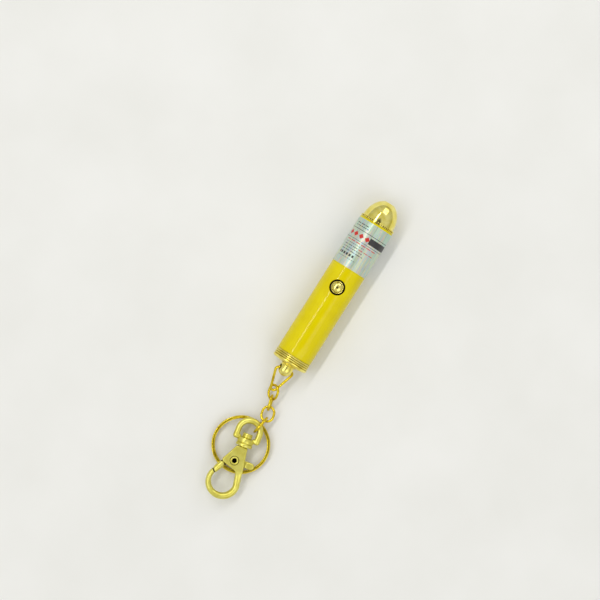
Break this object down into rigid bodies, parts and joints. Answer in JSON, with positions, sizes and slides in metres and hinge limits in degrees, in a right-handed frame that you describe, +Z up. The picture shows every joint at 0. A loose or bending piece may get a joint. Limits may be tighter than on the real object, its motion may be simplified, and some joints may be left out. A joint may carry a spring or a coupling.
{
  "type": "laser pointer keychain",
  "caption": "Tube laser pointer with domed screw-on tip, push button and screw cap, linked by a short chain to a swivel snap hook and a split key ring.",
  "frame": {"origin": "on the floor, under the middle of the lying object's box", "axes": "+Y along the barrel towards the tip, +Z up, the side the button faces, +X to the right of the barrel"},
  "size_m": [0.0218, 0.1262, 0.0145],
  "materials": {
    "yellow_paint": "gloss yellow enamel",
    "foil": "silver holographic foil",
    "gold_chrome": "bright gold plate",
    "pale_gold": "pale gold plate on cast zinc",
    "chain_gold": "gold plate on steel wire",
    "brass": "turned",
    "steel": "plain",
    "board": "green solder mask",
    "black_plastic": "moulded",
    "film": "clear film",
    "lens": "clear moulded lens",
    "sleeve": "pressed paper"
  },
  "bodies": {
    "pointer": {"barrel": "yellow_paint", "foil_label": "foil", "module_housing": "brass", "collimating_lens": "lens", "lens_retainer": "brass", "laser_diode": "steel", "circuit_board": "board", "tactile_switch": "black_plastic", "series_resistor": "black_plastic", "contact_spring": "steel", "battery_sleeve": "sleeve", "cell_rear": "steel", "cell_middle": "steel", "cell_front": "steel"},
    "tip": {"tip_shell": "gold_chrome", "pattern_film": "film", "film_ring": "black_plastic"},
    "push_button": {"button": "gold_chrome", "switch_plunger": "black_plastic"},
    "cap": {"end_cap": "gold_chrome"},
    "triangle": {"triangle_link": "chain_gold"},
    "link_1": {"chain_link_1": "chain_gold"},
    "link_2": {"chain_link_2": "chain_gold"},
    "link_3": {"chain_link_3": "chain_gold"},
    "link_4": {"chain_link_4": "chain_gold"},
    "eye": {"swivel_eye": "pale_gold"},
    "hook": {"hook_body": "pale_gold", "swivel_rivet": "pale_gold", "gate_rivet": "pale_gold", "gate_spring": "steel"},
    "gate": {"gate": "pale_gold"},
    "key_ring": {"split_ring": "chain_gold"}
  },
  "joints": [
    {"name": "tip_unscrew", "type": "slide", "parent": "pointer", "child": "tip", "axis": [0, 1, 0], "range_m": [0, 0.012]},
    {"name": "button_press", "type": "slide", "parent": "pointer", "child": "push_button", "axis": [0, 0, -1], "range_m": [0, 0.0005], "stiffness_N_per_m": 500, "springref_m": -0.0004},
    {"name": "cap_unscrew", "type": "slide", "parent": "pointer", "child": "cap", "axis": [0, -1, 0], "range_m": [0, 0.012]},
    {"name": "triangle_swing", "type": "hinge", "parent": "cap", "child": "triangle", "pos_m": [-0.00096, -0.00913, 0.00705], "axis": [0.9336, 0.1151, -0.3394], "range_deg": [-75, 45]},
    {"name": "link_1_swing", "type": "hinge", "parent": "triangle", "child": "link_1", "pos_m": [-0.00072, -0.01615, 0.00484], "axis": [-0.9336, -0.1151, 0.3394], "range_deg": [-30, 8]},
    {"name": "link_2_swing", "type": "hinge", "parent": "link_1", "child": "link_2", "pos_m": [0.00028, -0.02127, 0.00294], "axis": [0.7837, -0.0763, 0.6165], "range_deg": [-15, 30]},
    {"name": "link_3_swing", "type": "hinge", "parent": "link_2", "child": "link_3", "pos_m": [0.00174, -0.02528, 0.00269], "axis": [-0.1005, -0.0288, 0.9945], "range_deg": [-30, 30]},
    {"name": "link_4_swing", "type": "hinge", "parent": "link_3", "child": "link_4", "pos_m": [0.00316, -0.02933, 0.00346], "axis": [-0.9587, -0.2812, -0.0432], "range_deg": [-30, 30]},
    {"name": "eye_swing", "type": "hinge", "parent": "link_4", "child": "eye", "pos_m": [0.00173, -0.03479, 0.0038], "axis": [0, 0, 1], "range_deg": [-25, 25]},
    {"name": "hook_swivel", "type": "hinge", "parent": "eye", "child": "hook", "pos_m": [0, -0.03575, 0.00467], "axis": [-0.1942, 0.981, 0], "range_deg": [-8, 8]},
    {"name": "gate_open", "type": "hinge", "parent": "hook", "child": "gate", "pos_m": [0.00115, -0.0477, 0.00467], "axis": [0, 0, 1], "range_deg": [0, 25], "stiffness_Nm_per_rad": 0.004, "springref_deg": -17.19, "deforming": ["gate_spring"]},
    {"name": "ring_swing", "type": "hinge", "parent": "link_4", "child": "key_ring", "pos_m": [0.00232, -0.03144, 0.0005], "axis": [0, 0, 1], "range_deg": [-20, 20]}
  ]
}
